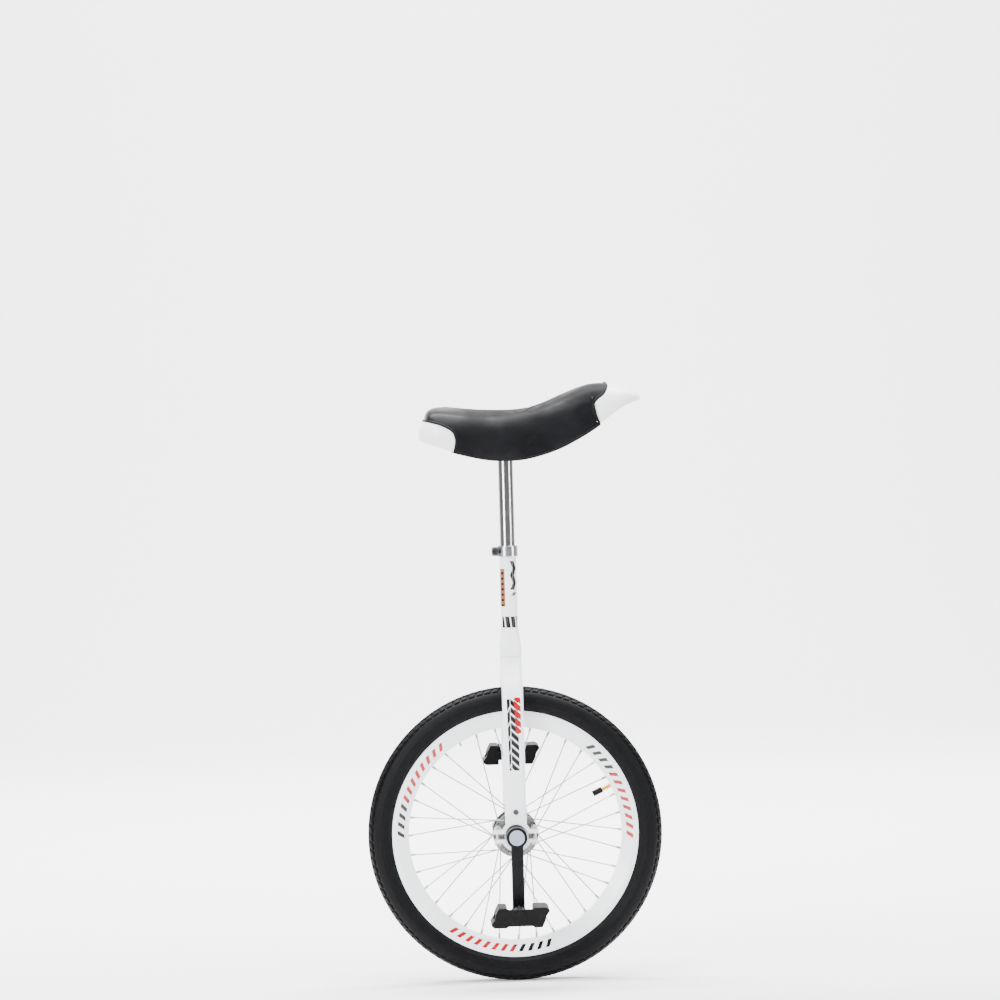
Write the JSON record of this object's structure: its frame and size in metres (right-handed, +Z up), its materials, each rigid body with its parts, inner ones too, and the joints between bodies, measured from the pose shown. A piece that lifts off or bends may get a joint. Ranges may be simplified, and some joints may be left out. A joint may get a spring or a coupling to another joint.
{
  "type": "unicycle",
  "caption": "Upright one-wheeled cycle: spoked pneumatic wheel with cranks and pedals, fork with split bearing caps, clamped seat post and curved padded saddle.",
  "frame": {"origin": "point where the tyre touches the ground, under the wheel axle", "axes": "+X towards the front of the saddle, +Y to the rider's left along the axle, +Z up"},
  "size_m": [0.4998, 0.322, 1.0113],
  "materials": {
    "white_paint": "gloss",
    "rim_paint": "gloss",
    "tyre_rubber": "matte",
    "tube_rubber": "satin",
    "tape": "satin",
    "brass": "satin",
    "black_plastic": "satin",
    "spoke_steel": "polished",
    "hub_chrome": "polished",
    "bright_steel": "satin",
    "bearing_steel": "polished",
    "crank_paint": "satin",
    "dust_cap": "satin",
    "reflector_amber": "gloss",
    "bushing_plastic": "satin",
    "clamp_alloy": "polished",
    "dark_steel": "satin",
    "post_chrome": "polished",
    "base_plastic": "satin",
    "foam": "matte",
    "cover_leather": "satin",
    "bumper_white": "gloss"
  },
  "bodies": {
    "frame": {"neck_tube": "white_paint", "fork_crown": "white_paint", "fork_leg_right": "white_paint", "fork_leg_left": "white_paint", "bearing_holder_right": "white_paint", "bearing_holder_left": "white_paint", "bearing_cap_right": "white_paint", "bearing_cap_left": "white_paint", "bearing_cap_bolts": "bright_steel", "bearing_cap_nuts": "bright_steel", "leg_screws": "dark_steel", "bearing_outer_races": "bearing_steel", "bearing_shields": "black_plastic"},
    "wheel": {"tyre": "tyre_rubber", "inner_tube": "tube_rubber", "rim_tape": "tape", "rim": "rim_paint", "valve_stem": "brass", "valve_cap": "black_plastic", "spokes_right": "spoke_steel", "spokes_left": "spoke_steel", "spoke_nipples": "bright_steel", "hub_shell": "hub_chrome", "axle": "bright_steel", "axle_spacers": "bright_steel", "bearing_inner_races": "bearing_steel", "crank_right": "crank_paint", "crank_left": "crank_paint", "crank_bolts": "dark_steel", "crank_dust_caps": "dust_cap", "pedal_spindle_right": "bright_steel", "pedal_spindle_left": "bright_steel", "pedal_nuts": "bright_steel"},
    "bearing_balls_right": {"bearing_balls_right": "bearing_steel", "bearing_cage_right": "bright_steel"},
    "bearing_balls_left": {"bearing_balls_left": "bearing_steel", "bearing_cage_left": "bright_steel"},
    "pedal_right": {"pedal_body_right": "black_plastic", "pedal_bushings_right": "bushing_plastic", "pedal_reflectors_right": "reflector_amber", "pedal_end_cap_right": "black_plastic"},
    "pedal_left": {"pedal_body_left": "black_plastic", "pedal_bushings_left": "bushing_plastic", "pedal_reflectors_left": "reflector_amber", "pedal_end_cap_left": "black_plastic"},
    "clamp": {"clamp_collar": "clamp_alloy", "clamp_bolt": "dark_steel", "clamp_nut": "dark_steel"},
    "seat": {"seat_post": "post_chrome", "saddle_bracket": "dark_steel", "saddle_bolts": "dark_steel", "saddle_nuts": "bright_steel", "saddle_base": "base_plastic", "saddle_foam": "foam", "saddle_cover": "cover_leather", "front_bumper": "bumper_white", "rear_bumper": "bumper_white", "bumper_screws": "dark_steel"}
  },
  "joints": [
    {"name": "wheel_spin", "type": "hinge", "parent": "frame", "child": "wheel", "pos_m": [0, 0, 0.25], "axis": [0, 1, 0], "continuous": true},
    {"name": "bearing_right_spin", "type": "hinge", "parent": "frame", "child": "bearing_balls_right", "pos_m": [0, -0.05, 0.25], "axis": [0, 1, 0], "continuous": true},
    {"name": "bearing_left_spin", "type": "hinge", "parent": "frame", "child": "bearing_balls_left", "pos_m": [0, 0.05, 0.25], "axis": [0, 1, 0], "continuous": true},
    {"name": "pedal_right_spin", "type": "hinge", "parent": "wheel", "child": "pedal_right", "pos_m": [0, -0.125, 0.125], "axis": [0, 1, 0], "continuous": true},
    {"name": "pedal_left_spin", "type": "hinge", "parent": "wheel", "child": "pedal_left", "pos_m": [0, 0.125, 0.375], "axis": [0, 1, 0], "continuous": true},
    {"name": "seat_turn", "type": "hinge", "parent": "frame", "child": "clamp", "pos_m": [0, 0, 0.73], "axis": [0, 0, 1], "continuous": true},
    {"name": "seat_height", "type": "slide", "parent": "clamp", "child": "seat", "axis": [0, 0, 1], "range_m": [-0.07, 0.035]}
  ],
  "couplings": [
    {"joint": "bearing_right_spin", "follows": "wheel_spin", "ratio": 0.3816},
    {"joint": "bearing_left_spin", "follows": "wheel_spin", "ratio": 0.3816}
  ]
}
